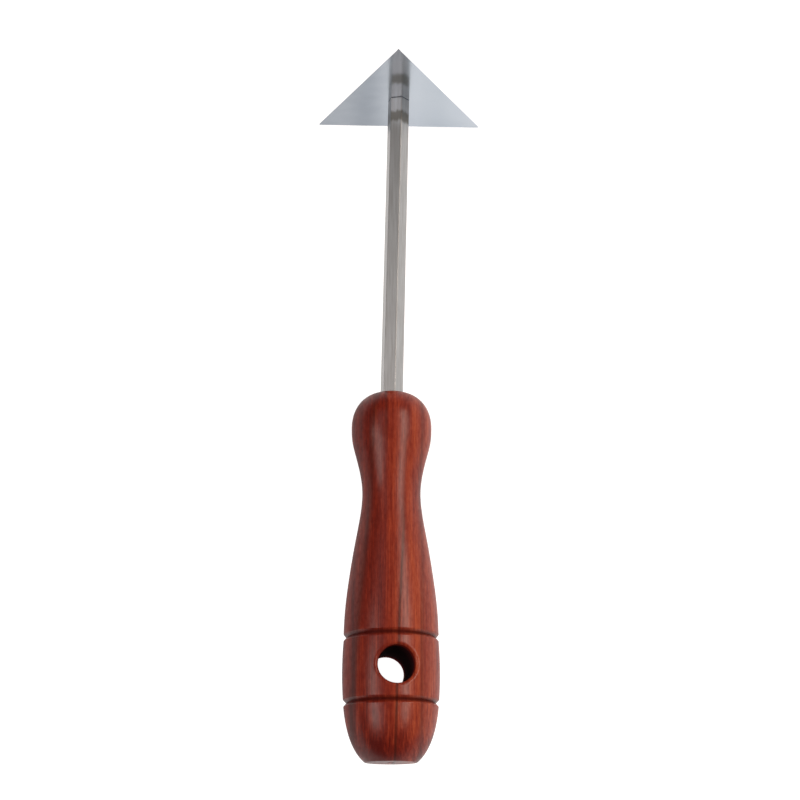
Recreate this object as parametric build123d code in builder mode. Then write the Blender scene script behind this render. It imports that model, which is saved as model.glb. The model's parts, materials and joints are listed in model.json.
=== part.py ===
from build123d import *
import os
from math import atan2, cos, radians, sin, sqrt

# A triangular hand scraper: a thin equilateral blade set square across a hexagonal bar, whose tang is
# bonded into a turned wooden handle. It lies at rest on the blade's base edge and the handle's barrel.
# Millimetres. +Y runs from the butt to the blade, +Z is up, the origin is the middle of the footprint.

os.makedirs("parts", exist_ok=True)

# --- driving dimensions ---

# handle: radii, and heights above the butt face
handle_length = 124.2
butt_radius = 8.4
shoulder_radius = 15.5
barrel_radius = 16.0
grip_radius = 15.65
waist_radius = 9.9
bulb_radius = 13.75
waist_height = 88.0
bulb_height = 112.0
groove_heights = (18.6, 39.7)
groove_width = 2.3
groove_depth = 1.0
groove_lip_round = 0.35
butt_edge_round = 0.5
centre_mark_radius = 1.3
centre_mark_depth = 0.9

# hanging hole, drilled across the handle between the grooves
hole_height = 29.5
hole_radius = 6.0
hole_turn = 7.8
hole_rim_round = 1.0

# shank: hexagonal bar, slightly out of line with the handle
across_flats = 7.0
shank_lean = 1.2
hex_turn = 13.3
arris_round = 0.25
free_length = 115.9
tang_length = 55.0
tang_chamfer = 0.8
joint_chamfer = 0.2

# bore in the handle for the tang
bore_radius = 4.3
bore_end_gap = 2.0
mouth_round = 0.4
adhesive_recess = 0.8

# blade: equilateral, its bevels ground from the front
blade_side = 62.0
blade_thickness = 1.2
blade_corner_round = 0.4
edge_land = 0.2
axis_above_base = 18.2

# spigot through the blade, and the weld over it
spigot_radius = 2.25
weld_radius = 4.2
weld_height = 0.8

# --- derived places ---

barrel_height = sum(groove_heights) / 2
blade_distance = handle_length + free_length
overall_length = blade_distance + blade_thickness + weld_height
rest_tilt = atan2(axis_above_base - barrel_radius, blade_distance - barrel_height)
lean_shift = free_length * sin(radians(shank_lean))

# tool: x to the side, y from the butt along the handle's axis, z up
tool = Plane(
    origin=(-lean_shift, -overall_length / 2, barrel_radius * cos(rest_tilt) - barrel_height * sin(rest_tilt)),
    x_dir=(1, 0, 0),
    z_dir=(0, -sin(rest_tilt), cos(rest_tilt)),
)
handle_axis = Axis(tool.origin, tool.y_dir)

# shank_line: from the handle's mouth, x to the side, y along the leaning bar, z up
shank_line = Plane(
    origin=tool.from_local_coords((0, handle_length, 0)),
    x_dir=tool.x_dir * cos(radians(shank_lean)) - tool.y_dir * sin(radians(shank_lean)),
    z_dir=tool.z_dir,
)
shank_axis = Axis(shank_line.origin, shank_line.y_dir)


def section(distance):
    """The plane across the shank at a distance from the handle's mouth, facing the blade, y up."""
    return Plane(
        origin=shank_line.from_local_coords((0, distance, 0)),
        x_dir=-shank_line.x_dir,
        z_dir=shank_line.y_dir,
    )


# --- handle ---

grip_start = groove_heights[1] + groove_width / 2

with BuildPart() as handle:
    with BuildSketch(tool) as half_outline:
        with BuildLine():
            butt = Line((0, 0), (butt_radius, 0))
            butt_curve = Bezier(
                butt @ 1,
                (butt_radius + 4.25, 3.4),
                (shoulder_radius - 0.8, 9.9),
                (shoulder_radius, groove_heights[0] - groove_width / 2),
            )
            low_groove = Polyline(
                butt_curve @ 1,
                (shoulder_radius - groove_depth, groove_heights[0]),
                (grip_radius, groove_heights[0] + groove_width / 2),
            )
            barrel = ThreePointArc(
                low_groove @ 1,
                (barrel_radius, barrel_height),
                (grip_radius, groove_heights[1] - groove_width / 2),
            )
            high_groove = Polyline(
                barrel @ 1,
                (grip_radius - groove_depth, groove_heights[1]),
                (grip_radius, grip_start),
            )
            grip = Spline(
                high_groove @ 1,
                (grip_radius - 0.3, 48),
                (grip_radius - 1.65, 60),
                (waist_radius + 2.2, 72),
                (waist_radius + 0.25, 84),
                (waist_radius, waist_height),
                (waist_radius + 0.87, 96),
                (bulb_radius - 0.97, 104),
                (bulb_radius, bulb_height),
                tangents=((-0.02, 1), (0, 1)),
            )
            dome = Bezier(
                grip @ 1,
                (bulb_radius, bulb_height + 6.5),
                (bulb_radius - 3.5, handle_length - 0.6),
                (bore_radius - 0.7, handle_length),
            )
            Polyline(dome @ 1, (0, handle_length), (0, 0))
        make_face()
        lip_heights = [height + side * groove_width / 2 for height in groove_heights for side in (-1, 1)]
        lips = [
            vertex
            for vertex in half_outline.vertices()
            if any(abs(tool.to_local_coords(vertex).Y - height) < 0.01 for height in lip_heights)
        ]
        fillet(lips, groove_lip_round)
        butt_corner = half_outline.vertices().sort_by_distance(tool.from_local_coords((butt_radius, 0, 0)))[0]
        fillet(butt_corner, butt_edge_round)
    revolve(axis=handle_axis)

    # the hanging hole, turned about the handle's axis, its rims softened
    hole_line = Plane(
        origin=tool.from_local_coords((0, hole_height, 0)),
        x_dir=tool.y_dir,
        z_dir=tool.x_dir * sin(radians(hole_turn)) + tool.z_dir * cos(radians(hole_turn)),
    )
    with Locations(hole_line.offset(2 * barrel_radius)):
        Hole(hole_radius)
    hole_wall = handle.faces().filter_by(GeomType.CYLINDER)
    fillet(hole_wall.edges().filter_by(GeomType.LINE, reverse=True), hole_rim_round)

    # the bore for the tang
    with BuildSketch(section(-tang_length - bore_end_gap)):
        Circle(bore_radius)
    extrude(amount=tang_length + bore_end_gap + handle_length / 4, mode=Mode.SUBTRACT)
    bore_mouth = handle.edges().sort_by_distance(shank_line.origin)[0]
    fillet(bore_mouth, mouth_round)

    # the mark that the lathe's centre leaves in the butt
    with BuildSketch(tool):
        with BuildLine():
            Polyline((0, 0), (centre_mark_radius, 0), (0, centre_mark_depth), close=True)
        make_face()
    revolve(axis=handle_axis, mode=Mode.SUBTRACT)

# --- shank: tang, bar and spigot in one ---

with BuildPart() as shank:
    with BuildSketch(section(-tang_length)):
        RegularPolygon(across_flats / 2, side_count=6, major_radius=False, rotation=-hex_turn)
    extrude(amount=tang_length + free_length)
    tang_end, *_, joint_end = shank.faces().sort_by(shank_axis)
    chamfer(tang_end.edges(), tang_chamfer)
    chamfer(joint_end.edges(), joint_chamfer)
    fillet(shank.edges().filter_by(shank_axis), arris_round)
    with BuildSketch(section(free_length)):
        Circle(spigot_radius)
    extrude(amount=blade_thickness)

# --- blade ---

with BuildPart() as blade:
    with BuildSketch(section(free_length)) as triangle:
        centroid_height = blade_side / (2 * sqrt(3))
        with Locations((0, centroid_height - axis_above_base)):
            RegularPolygon(blade_side / sqrt(3), side_count=3, rotation=90, align=None)
        fillet(triangle.vertices(), blade_corner_round)
    extrude(amount=blade_thickness)
    # one bevel along each side, sloping in from the land towards the front
    for side_angle in (30, 150, 270):
        side_x = cos(radians(side_angle))
        side_y = sin(radians(side_angle))
        on_side = (side_x * centroid_height, side_y * centroid_height + centroid_height - axis_above_base, edge_land)
        back_plane = section(free_length)
        bevel = Plane(
            origin=back_plane.from_local_coords(on_side),
            z_dir=back_plane.x_dir * side_x + back_plane.y_dir * side_y + back_plane.z_dir,
        )
        split(bisect_by=bevel, keep=Keep.BOTTOM)
    with BuildSketch(section(free_length)):
        Circle(spigot_radius)
    extrude(amount=blade_thickness, mode=Mode.SUBTRACT)

# --- weld over the spigot, a low dome ---

with BuildPart() as front_weld:
    weld_plane = Plane(
        origin=shank_line.from_local_coords((0, free_length + blade_thickness, 0)),
        x_dir=shank_line.x_dir,
        z_dir=shank_line.z_dir,
    )
    with BuildSketch(weld_plane):
        with BuildLine():
            foot = Line((0, 0), (weld_radius, 0))
            crown = Spline(foot @ 1, (0, weld_height), tangents=((-0.8, 1), (-1, 0)))
            Line(crown @ 1, (0, 0))
        make_face()
    revolve(axis=shank_axis)

# --- resin that fills the bore around the tang ---

with BuildPart() as tang_adhesive:
    with BuildSketch(section(-tang_length - bore_end_gap)):
        Circle(bore_radius)
    extrude(amount=tang_length + bore_end_gap - adhesive_recess)
    add(shank.part, mode=Mode.SUBTRACT)

for name, node in (
    ("handle", handle),
    ("shank", shank),
    ("blade", blade),
    ("front_weld", front_weld),
    ("tang_adhesive", tang_adhesive),
):
    node.part.label = name
    export_step(node.part, f"parts/{name}.step")
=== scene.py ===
"""Looks of a triangular hand scraper: turned wooden handle, hexagonal steel bar, ground steel blade.

Metres, in the CAD model's frame: +Y from the butt to the blade, +Z up. Textures are measured in millimetres.
"""

import json
import math

import bmesh
import bpy
from mathutils import Matrix, Vector


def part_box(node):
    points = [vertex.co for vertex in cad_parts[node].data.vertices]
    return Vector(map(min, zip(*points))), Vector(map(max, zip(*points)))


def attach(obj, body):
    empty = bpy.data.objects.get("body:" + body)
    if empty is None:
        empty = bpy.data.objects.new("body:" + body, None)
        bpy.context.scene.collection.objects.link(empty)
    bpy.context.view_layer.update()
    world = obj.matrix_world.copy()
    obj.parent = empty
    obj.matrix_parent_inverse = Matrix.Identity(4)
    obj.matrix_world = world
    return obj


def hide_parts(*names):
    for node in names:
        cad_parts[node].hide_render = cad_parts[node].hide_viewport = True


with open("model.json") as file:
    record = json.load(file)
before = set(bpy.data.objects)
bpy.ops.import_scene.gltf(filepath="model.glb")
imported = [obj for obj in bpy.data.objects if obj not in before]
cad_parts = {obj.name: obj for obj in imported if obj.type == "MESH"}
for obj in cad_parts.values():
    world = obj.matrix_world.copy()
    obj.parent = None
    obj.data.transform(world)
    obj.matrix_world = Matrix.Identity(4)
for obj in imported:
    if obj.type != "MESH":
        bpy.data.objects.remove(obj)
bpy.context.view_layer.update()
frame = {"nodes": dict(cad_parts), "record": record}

MM = 0.001

# --- places, from the frame ---

handle_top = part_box("handle")[1].z
blade_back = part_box("blade")[0].y
mounts = {mount["name"]: mount for mount in frame["record"]["mounts"]}
hole = mounts["hanging_hole"]
hole_middle = Vector(hole["pos_m"])
hole_radius = hole["dims"]["r_mm"]
butt = mounts["butt_face"]
butt_place = Vector(butt["pos_m"])

# millimetres above the butt face
groove_heights = (18.6, 39.7)


# --- node graphs ---


class Graph:
    """A material's node tree, built by short calls. A value may be a number, a colour or a socket."""

    def __init__(self, name):
        self.material = bpy.data.materials.new(name)
        self.material.use_nodes = True
        self.tree = self.material.node_tree
        self.tree.nodes.clear()
        self.output = self.tree.nodes.new("ShaderNodeOutputMaterial")

    def node(self, kind, inputs=(), **settings):
        made = self.tree.nodes.new("ShaderNode" + kind)
        for name, value in settings.items():
            setattr(made, name, value)
        for name, value in dict(inputs).items():
            self.put(made.inputs[name], value)
        return made

    def put(self, socket, value):
        if isinstance(value, bpy.types.NodeSocket):
            self.tree.links.new(value, socket)
        elif value is not None:
            socket.default_value = value

    def place(self, scale=(1, 1, 1)):
        """The point on the object in millimetres, each axis then multiplied by its scale."""
        coordinates = self.node("TexCoord").outputs["Object"]
        return self.scaled(coordinates, tuple(factor / MM for factor in scale))

    def facing(self, axis):
        """How far the surface faces along an axis of the object, from -1 to 1."""
        normal = self.node("NewGeometry").outputs["Normal"]
        return self.node("SeparateXYZ", {0: normal}).outputs[axis]

    def scaled(self, vector, factors):
        return self.node("VectorMath", {0: vector, 1: factors}, operation="MULTIPLY").outputs[0]

    def shifted(self, vector, by):
        return self.node("VectorMath", {0: vector, 1: by}, operation="ADD").outputs[0]

    def math(self, operation, first, second=None, third=None, clamp=False):
        inputs = {0: first, 1: second, 2: third}
        return self.node("Math", inputs, operation=operation, use_clamp=clamp).outputs[0]

    def noise(self, vector, scale=1.0, detail=2.0, roughness=0.5, distortion=0.0):
        inputs = {"Vector": vector, "Scale": scale, "Detail": detail, "Roughness": roughness}
        inputs["Distortion"] = distortion
        return self.node("TexNoise", inputs, noise_dimensions="3D").outputs[0]

    def ramp(self, factor, *stops):
        """A colour ramp with (place, colour) stops; a colour may be one grey number."""
        made = self.node("ValToRGB", {"Fac": factor})
        elements = made.color_ramp.elements
        while len(elements) < len(stops):
            elements.new(0.5)
        for element, (place, colour) in zip(elements, stops):
            element.position = place
            element.color = (colour,) * 3 + (1,) if isinstance(colour, (int, float)) else tuple(colour) + (1,)
        return made.outputs[0]

    def between(self, value, low, high, out_low=0.0, out_high=1.0):
        """value carried from low..high to out_low..out_high, and held there outside."""
        inputs = {"Value": value, "From Min": low, "From Max": high, "To Min": out_low, "To Max": out_high}
        return self.node("MapRange", inputs, interpolation_type="SMOOTHSTEP").outputs[0]

    def mix(self, factor, first, second, blend_type="MIX"):
        made = self.node("Mix", data_type="RGBA", blend_type=blend_type)
        for socket, value in zip((made.inputs[0], made.inputs[6], made.inputs[7]), (factor, first, second)):
            if not isinstance(value, (bpy.types.NodeSocket, int, float)):
                value = tuple(value) + (1,)
            self.put(socket, value)
        return made.outputs[2]

    def bump(self, height, strength, distance, normal=None):
        inputs = {"Height": height, "Strength": strength, "Distance": distance, "Normal": normal}
        return self.node("Bump", inputs).outputs[0]

    def finish(self, **inputs):
        """The surface: a Principled shader with these inputs, underscores for spaces."""
        named = {name.replace("_", " "): value for name, value in inputs.items()}
        shader = self.node("BsdfPrincipled", named)
        self.tree.links.new(shader.outputs[0], self.output.inputs["Surface"])
        return self.material


# --- materials ---


def from_butt(g):
    """The point in millimetres from the middle of the butt face, at the height of the handle's middle."""
    return g.shifted(g.place(), (-hole_middle.x / MM, -butt_place.y / MM, -hole_middle.z / MM))


def wood():
    """Red-brown hardwood with lengthwise figure, under a satin lacquer that is rubbed thin on the left, with
    painted shade on its left side, butt end, grooves and a band on the left flank, and painted light on its
    right side.
    """
    g = Graph("lacquered_hardwood")
    handle_point = from_butt(g)
    axes = g.node("SeparateXYZ", {0: handle_point}).outputs

    def along(across, lengthwise):
        """Places for noise that runs lengthwise in upright sheets: the blank was sawn across the rings."""
        upright = 0.22
        return g.scaled(handle_point, (across, lengthwise, across * upright))

    bands = g.noise(along(0.26, 0.006), detail=2, roughness=0.5)
    streaks = g.noise(along(0.80, 0.010), detail=3, roughness=0.6)
    fibres = g.noise(along(3.2, 0.05), detail=3, roughness=0.6)
    mottle = g.noise(along(1.3, 0.45), detail=3, roughness=0.65)
    pores = g.noise(along(7.0, 0.45), detail=1, roughness=0.4)
    sway = g.math("MULTIPLY", g.math("SUBTRACT", g.noise(along(0.05, 0.03), detail=2), 0.5), 1.4)

    def late_wood_and_shade_band(at_butt, lean, tilt, half_width):
        """How much of a thin dark sheet shows here: late wood in the grain, and on the left flank a band of
        painted shade. Lean is its slope along, tilt upwards.
        """
        line = g.math("MULTIPLY_ADD", axes["Y"], lean, at_butt)
        line = g.math("MULTIPLY_ADD", axes["Z"], tilt, line)
        off = g.math("ABSOLUTE", g.math("ADD", g.math("SUBTRACT", axes["X"], line), sway))
        return g.between(off, 0.0, half_width, 1.0, 0.0)

    tone = g.math("MULTIPLY", bands, 0.30)
    tone = g.math("MULTIPLY_ADD", streaks, 0.24, tone)
    tone = g.math("MULTIPLY_ADD", fibres, 0.28, tone)
    tone = g.math("MULTIPLY_ADD", mottle, 0.15, tone)
    # painted shade and light: the wood is darker on the left side and lighter on the right, as the light
    # falls
    tone = g.math("ADD", tone, g.between(axes["X"], -14.0, 7.0, -0.085, 0.048))
    # painted shade: darker towards the butt end, which faces away from the lights
    tone = g.math("ADD", tone, g.between(axes["Y"], 12.0, 2.0, 0.0, -0.09))
    colour = g.ramp(
        tone,
        (0.36, (0.070, 0.005, 0.003)),
        (0.46, (0.135, 0.012, 0.005)),
        (0.54, (0.205, 0.026, 0.010)),
        (0.66, (0.310, 0.055, 0.019)),
    )
    below_bulb = g.between(axes["Y"], 60.0, 98.0, 0.8, 0.1)
    near_top = g.between(axes["Y"], 98.0, 110.0, 0.0, 0.5)
    sheets = (
        (late_wood_and_shade_band(at_butt=1.0, lean=0.036, tilt=0.02, half_width=0.8), below_bulb),
        # painted shade: this sheet is a dark band along the left flank
        (late_wood_and_shade_band(at_butt=-12.3, lean=0.07, tilt=-0.12, half_width=2.0), 0.6),
        (late_wood_and_shade_band(at_butt=8.5, lean=0.01, tilt=0.10, half_width=1.4), 0.4),
        (late_wood_and_shade_band(at_butt=-1.8, lean=0.0, tilt=0.0, half_width=0.8), near_top),
    )
    dark = 0.0
    for shown, strength in sheets:
        dark = g.math("MAXIMUM", dark, g.math("MULTIPLY", shown, strength))
    dark = g.math("MULTIPLY", dark, g.between(fibres, 0.2, 0.5))
    colour = g.mix(dark, colour, (0.035, 0.005, 0.003))
    flecks = g.between(pores, 0.62, 0.76, 0.0, 0.32)
    colour = g.mix(flecks, colour, (0.030, 0.005, 0.003))

    # painted shade: darker at the bottom of the two grooves
    from_end = g.shifted(g.place(), tuple(-component / MM for component in butt_place))
    inward = tuple(-component for component in butt["axis"])
    height = g.node("VectorMath", {0: from_end, 1: inward}, operation="DOT_PRODUCT").outputs["Value"]
    for groove in groove_heights:
        off_groove = g.math("ABSOLUTE", g.math("SUBTRACT", height, groove))
        colour = g.mix(g.between(off_groove, 0.15, 1.0, 0.8, 0.0), colour, (0.040, 0.004, 0.003))

    relief = g.math("SUBTRACT", fibres, g.math("MULTIPLY", flecks, 0.6))
    relief = g.math("MULTIPLY_ADD", mottle, 0.5, relief)
    uneven = g.bump(relief, 0.4, 0.05 * MM)
    rubbed = g.between(g.facing("X"), -0.92, -0.55, 0.55, 1.0)
    return g.finish(
        Base_Color=colour,
        Roughness=g.between(fibres, 0.3, 0.7, 0.45, 0.55),
        Specular_IOR_Level=0.0,
        Coat_Weight=g.math("MULTIPLY", rubbed, g.between(mottle, 0.25, 0.75, 0.46, 0.62)),
        Coat_Roughness=0.31,
        Coat_IOR=1.45,
        Normal=uneven,
        Coat_Normal=uneven,
    )


def drilled_wood():
    """The wall of the hanging hole: bare wood, darkened deep inside by painted shade and lighter near the
    mouths.
    """
    g = Graph("drilled_wood")
    fibres = g.noise(g.place((2.6, 0.2, 2.6)), detail=3, roughness=0.6)
    # painted shade: the wall is near black deep inside the hole
    painted_inner_shade = g.mix(g.between(fibres, 0.3, 0.7), (0.014, 0.004, 0.005), (0.026, 0.006, 0.007))
    across = g.scaled(from_butt(g), (1, 0, 1))
    depth = g.node("VectorMath", {0: across}, operation="LENGTH").outputs["Value"]
    # the painted shade fades out towards the mouths
    colour = g.mix(g.between(depth, 11.0, 14.8), painted_inner_shade, (0.13, 0.012, 0.008))
    return g.finish(Base_Color=colour, Roughness=1.0, IOR=1.03, Normal=g.bump(fibres, 0.3, 0.05 * MM))


def bar_steel():
    """Drawn stainless bar, scratched along, with painted shade on its top arris and its left face, tinted by
    heat near the joint.
    """
    g = Graph("drawn_stainless")
    lines = g.noise(g.place((9, 0.06, 9)), detail=3, roughness=0.6)
    streaks = g.noise(g.place((2.2, 0.07, 2.2)), detail=3, roughness=0.6)
    clouds = g.noise(g.place((0.5, 0.12, 0.5)), detail=3, roughness=0.55)
    colour = g.mix(g.between(streaks, 0.3, 0.7), (0.32, 0.31, 0.30), (0.40, 0.395, 0.39))
    sideways = g.facing("X")
    # painted shade: the top arris darkened where the softbox glints on it
    arris = g.math("MULTIPLY", g.between(sideways, -0.1, 0.15), g.between(sideways, 0.62, 0.4))
    colour = g.mix(g.math("MULTIPLY", arris, 0.5), colour, (0.20, 0.20, 0.20))
    depth = g.node("SeparateXYZ", {0: g.place()}).outputs["Y"]
    to_blade = g.math("SUBTRACT", blade_back / MM, depth)
    wobble = g.math("MULTIPLY", g.math("SUBTRACT", clouds, 0.5), 4.0)
    tint_place = g.math("ADD", to_blade, wobble)
    tint = g.math("MULTIPLY", g.between(tint_place, 4.4, 6.2), g.between(tint_place, 10.4, 8.6))
    colour = g.mix(g.math("MULTIPLY", tint, 0.85), colour, (0.13, 0.12, 0.10))
    # painted shade: the left face darker, as the floor it reflects lies in the bar's shadow
    colour = g.mix(g.between(sideways, -0.75, -0.5, 0.35, 0.0), colour, (0.16, 0.165, 0.17))
    return g.finish(
        Base_Color=colour,
        Metallic=1.0,
        Roughness=g.between(lines, 0.3, 0.7, 0.29, 0.34),
        Anisotropic=0.5,
        Tangent=g.node("CombineXYZ", {"X": 0.021, "Y": 1.0, "Z": 0.01}).outputs[0],
        Normal=g.bump(lines, 0.04, 0.01 * MM),
    )


def blade_steel():
    """Surface-ground stainless sheet, its scratches parallel to the base edge."""
    g = Graph("ground_stainless")
    lines = g.noise(g.place((0.12, 14, 14)), detail=3, roughness=0.6)
    clouds = g.noise(g.place((0.12, 0.3, 0.2)), detail=2, roughness=0.5)
    across = g.node("SeparateXYZ", {0: g.place()}).outputs["X"]
    # painted reflection and shade: the blade is darker to the left of the bar and lighter to the right
    colour = g.mix(g.between(across, -14.0, 8.0), (0.292, 0.322, 0.362), (0.425, 0.472, 0.530))
    colour = g.mix(g.between(clouds, 0.3, 0.7, 0.0, 0.10), colour, (0.48, 0.52, 0.56))
    return g.finish(
        Base_Color=colour,
        Metallic=1.0,
        Roughness=g.between(lines, 0.3, 0.7, 0.10, 0.16),
        Anisotropic=0.6,
        Tangent=g.node("CombineXYZ", {"X": 1.0}).outputs[0],
        Normal=g.bump(lines, 0.08, 0.01 * MM),
    )


def honed_steel():
    """The blade's bevels: finely honed, brighter than the flat."""
    g = Graph("honed_stainless")
    lines = g.noise(g.place((5, 5, 5)), detail=3, roughness=0.6)
    colour = g.mix(g.between(lines, 0.3, 0.7), (0.46, 0.48, 0.50), (0.54, 0.56, 0.58))
    return g.finish(
        Base_Color=colour,
        Metallic=1.0,
        Roughness=g.between(lines, 0.3, 0.7, 0.14, 0.22),
        Normal=g.bump(lines, 0.1, 0.01 * MM),
    )


def weld_steel():
    """Weld metal, left as it set: dull, with straw and blue tints."""
    g = Graph("weld_metal")
    clouds = g.noise(g.place((0.9, 0.9, 0.9)), detail=3, roughness=0.6)
    colour = g.ramp(clouds, (0.3, (0.30, 0.29, 0.30)), (0.5, (0.46, 0.42, 0.36)), (0.7, (0.36, 0.40, 0.50)))
    return g.finish(
        Base_Color=colour,
        Metallic=1.0,
        Roughness=g.between(clouds, 0.3, 0.7, 0.32, 0.5),
        Normal=g.bump(clouds, 0.2, 0.05 * MM),
    )


def resin():
    """Amber adhesive."""
    g = Graph("resin")
    clouds = g.noise(g.place((0.6, 0.6, 0.6)), detail=2)
    colour = g.mix(clouds, (0.10, 0.035, 0.012), (0.17, 0.075, 0.03))
    return g.finish(Base_Color=colour, Roughness=0.3, Coat_Weight=0.3, Coat_Roughness=0.1)


def light_table():
    """The floor: plain, white and matt, and lit from below, most of all under the handle."""
    g = Graph("light_table")
    colour = g.mix(g.noise(g.place((0.4, 0.4, 0.4)), detail=3), (0.35, 0.35, 0.35), (0.37, 0.37, 0.37))
    lengthwise = g.node("SeparateXYZ", {0: g.place()}).outputs["Y"]
    return g.finish(
        Base_Color=colour,
        Roughness=0.9,
        Specular_IOR_Level=0.2,
        Emission_Color=(1, 1, 1, 1),
        Emission_Strength=g.between(lengthwise, -80.0, 20.0, 1.0, 0.86),
    )


# --- assembly ---


def dress(node, *materials):
    """Gives a CAD node its materials."""
    slots = frame["nodes"][node].data.materials
    slots.clear()
    for material in materials:
        slots.append(material)


def in_hanging_hole(point):
    """Whether a point is on the hole's drilled wall, inside its rounded rims."""
    return (point - hole_middle).cross(Vector(hole["axis"])).length < hole_radius * 1.01 * MM


def on_bevel(normal):
    """Whether a face of the blade is a bevel, which slopes between its flat front and its sides."""
    return 0.5 < normal.y < 0.95


dress("handle", wood(), drilled_wood())
for face in frame["nodes"]["handle"].data.polygons:
    face.material_index = int(in_hanging_hole(face.center))
dress("shank", bar_steel())
dress("blade", blade_steel(), honed_steel())
for face in frame["nodes"]["blade"].data.polygons:
    face.material_index = int(on_bevel(face.normal))
dress("tang_adhesive", resin())

# --- the weld: a round bead, laid in one turn, with its ripples and the small crater where it ended ---


def add_mesh(name, made, material):
    """A new object from a bmesh, smooth shaded."""
    mesh = bpy.data.meshes.new(name)
    made.to_mesh(mesh)
    made.free()
    mesh.materials.append(material)
    for face in mesh.polygons:
        face.use_smooth = True
    piece = bpy.data.objects.new(name, mesh)
    bpy.context.scene.collection.objects.link(piece)
    return piece


def weld_bead(seat, radius, crown):
    """A bead of this radius and crown height, on the disc that the seat matrix places with its z outward."""
    rings = 22
    spokes = 96
    ripples = 15
    made = bmesh.new()

    def height(share, angle):
        """The bead's height at a share of its radius: a dome, with curved ripples and a dip in the middle."""
        swell = (1 - share ** 4) * (0.80 + 0.20 * math.cos(math.pi * (share - 0.45)))
        turn = ripples * angle / (2 * math.pi) + 2.4 * share ** 2
        scallop = math.cos(2 * math.pi * turn) * (1 - share ** 8) * min(1.0, share / 0.6) ** 2
        crater = 0.3 * math.exp(-((share / 0.2) ** 2))
        return crown * swell * (0.94 + 0.06 * scallop - crater)

    middle = made.verts.new(seat @ Vector((0, 0, height(0, 0))))
    circles = []
    for ring in range(1, rings + 1):
        share = ring / rings
        circle = []
        for spoke in range(spokes):
            angle = 2 * math.pi * spoke / spokes
            across = radius * share
            place = Vector((across * math.cos(angle), across * math.sin(angle), height(share, angle)))
            circle.append(made.verts.new(seat @ place))
        circles.append(circle)
    foot = made.verts.new(seat @ Vector((0, 0, 0)))
    for spoke in range(spokes):
        following = (spoke + 1) % spokes
        made.faces.new((middle, circles[0][spoke], circles[0][following]))
        for inner, outer in zip(circles, circles[1:]):
            made.faces.new((inner[spoke], outer[spoke], outer[following], inner[following]))
        made.faces.new((foot, circles[-1][following], circles[-1][spoke]))
    return made


# the seat is the CAD weld's flat foot, which faces the handle
weld_mesh = frame["nodes"]["front_weld"].data
seat_faces = [face for face in weld_mesh.polygons if face.normal.y < -0.99]
seat_corners = [weld_mesh.vertices[index].co for face in seat_faces for index in face.vertices]
seat_middle = sum(seat_corners, Vector()) / len(seat_corners)
outward = -sum((face.normal for face in seat_faces), Vector()).normalized()
seat = Matrix.Translation(seat_middle) @ outward.to_track_quat("Z", "Y").to_matrix().to_4x4()

# the bead stays just inside the CAD weld
bead_radius = 0.985 * max((corner - seat_middle).length for corner in seat_corners)
bead_crown = 0.97 * max((vertex.co - seat_middle).dot(outward) for vertex in weld_mesh.vertices)
bead = add_mesh("weld_bead", weld_bead(seat, bead_radius, bead_crown), weld_steel())
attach(bead, "root")
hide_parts("front_weld")

# --- floor, lights and camera ---

floor_half_width = 6.0
ground = bmesh.new()
bmesh.ops.create_grid(ground, x_segments=8, y_segments=8, size=floor_half_width)
add_mesh("floor", ground, light_table())

centre = Vector((0, 0, handle_top / 2))
softbox_distance = 1.1


def softbox(name, direction, size, power, colour=(1, 1, 1)):
    """A rectangular light that faces the object; its size is across and along the object."""
    light = bpy.data.lights.new(name, "AREA")
    light.shape = "RECTANGLE"
    light.size, light.size_y = size
    light.energy = power
    light.color = colour
    lamp = bpy.data.objects.new(name, light)
    outward = Vector(direction).normalized()
    across = Vector((0, 1, 0)).cross(outward).normalized()
    lamp.location = centre + outward * softbox_distance
    lamp.rotation_euler = Matrix((across, outward.cross(across), outward)).transposed().to_euler()
    lamp.visible_camera = False
    bpy.context.scene.collection.objects.link(lamp)


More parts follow.
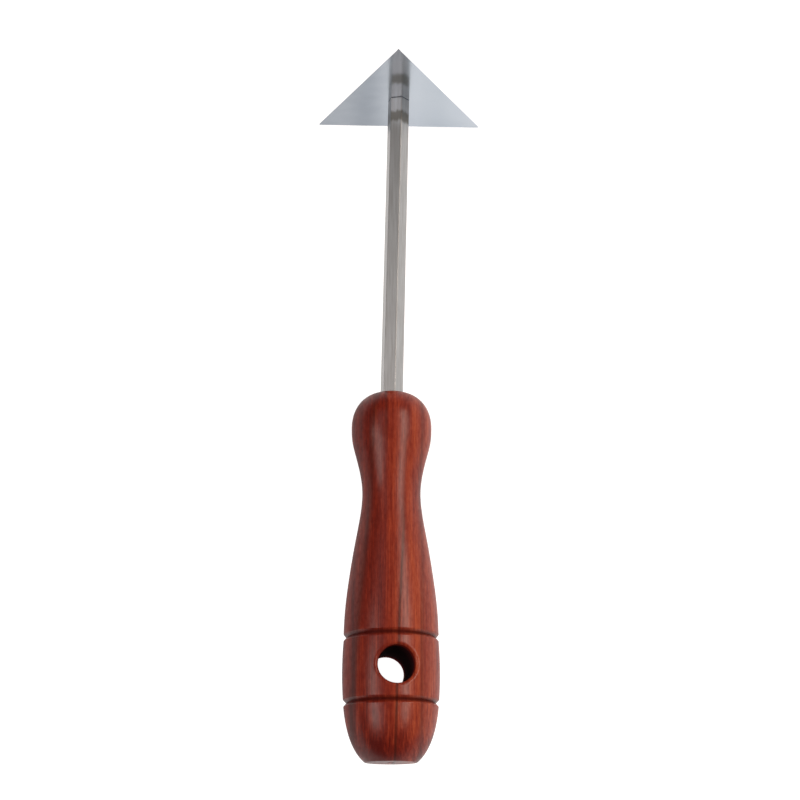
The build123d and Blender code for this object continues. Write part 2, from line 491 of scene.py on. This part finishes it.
softbox("left_softbox", (-0.64, -0.18, 0.72), (0.36, 0.72), 5.8, (1.0, 0.84, 0.77))
softbox("front_left_softbox", (-0.45, -0.36, 0.81), (0.38, 0.36), 1.0, (0.96, 0.98, 1.0))
softbox("back_left_softbox", (-0.42, 0.33, 0.84), (0.50, 0.50), 0.72)
softbox("right_softbox", (0.58, 0.09, 0.80), (0.28, 1.15), 12.0, (1.0, 0.86, 0.74))


def room():
    """Walls paler than the ceiling, brighter to the right and beyond the blade."""
    world = bpy.data.worlds.new("room")
    world.use_nodes = True
    tree = world.node_tree
    direction = tree.nodes.new("ShaderNodeTexCoord").outputs["Generated"]
    axes = tree.nodes.new("ShaderNodeSeparateXYZ")
    tree.links.new(direction, axes.inputs[0])

    def graded(axis, low, high, out_low, out_high):
        made = tree.nodes.new("ShaderNodeMapRange")
        made.interpolation_type = "SMOOTHSTEP"
        tree.links.new(axes.outputs[axis], made.inputs["Value"])
        for name, value in zip(("From Min", "From Max", "To Min", "To Max"), (low, high, out_low, out_high)):
            made.inputs[name].default_value = value
        return made.outputs[0]

    strength = tree.nodes.new("ShaderNodeMath")
    strength.operation = "MULTIPLY"
    tree.links.new(graded("Z", 0.05, 0.4, 1.0, 0.2), strength.inputs[0])
    tree.links.new(graded("X", -0.9, 0.9, 0.15, 1.2), strength.inputs[1])
    toward_blade = tree.nodes.new("ShaderNodeMath")
    toward_blade.operation = "MULTIPLY"
    tree.links.new(strength.outputs[0], toward_blade.inputs[0])
    tree.links.new(graded("Y", -0.4, 0.3, 0.5, 1.0), toward_blade.inputs[1])
    background = tree.nodes["Background"]
    background.inputs["Color"].default_value = (0.95, 0.97, 1.0, 1)
    tree.links.new(toward_blade.outputs[0], background.inputs["Strength"])
    return world


bpy.context.scene.world = room()
bpy.context.scene.view_settings.view_transform = "Standard"

camera_elevation = 70.93
camera_distance = 0.48389
focal_length = 62.63
aim = Vector((0.00049, 0.00128, 0.017))
camera = bpy.data.objects.new("camera", bpy.data.cameras.new("camera"))
camera.data.sensor_width = 36
camera.data.lens = focal_length
camera.rotation_euler = (math.radians(90 - camera_elevation), 0, 0)
camera.location = aim + Matrix.Rotation(camera.rotation_euler.x, 3, "X") @ Vector((0, 0, camera_distance))
bpy.context.scene.collection.objects.link(camera)
bpy.context.scene.camera = camera
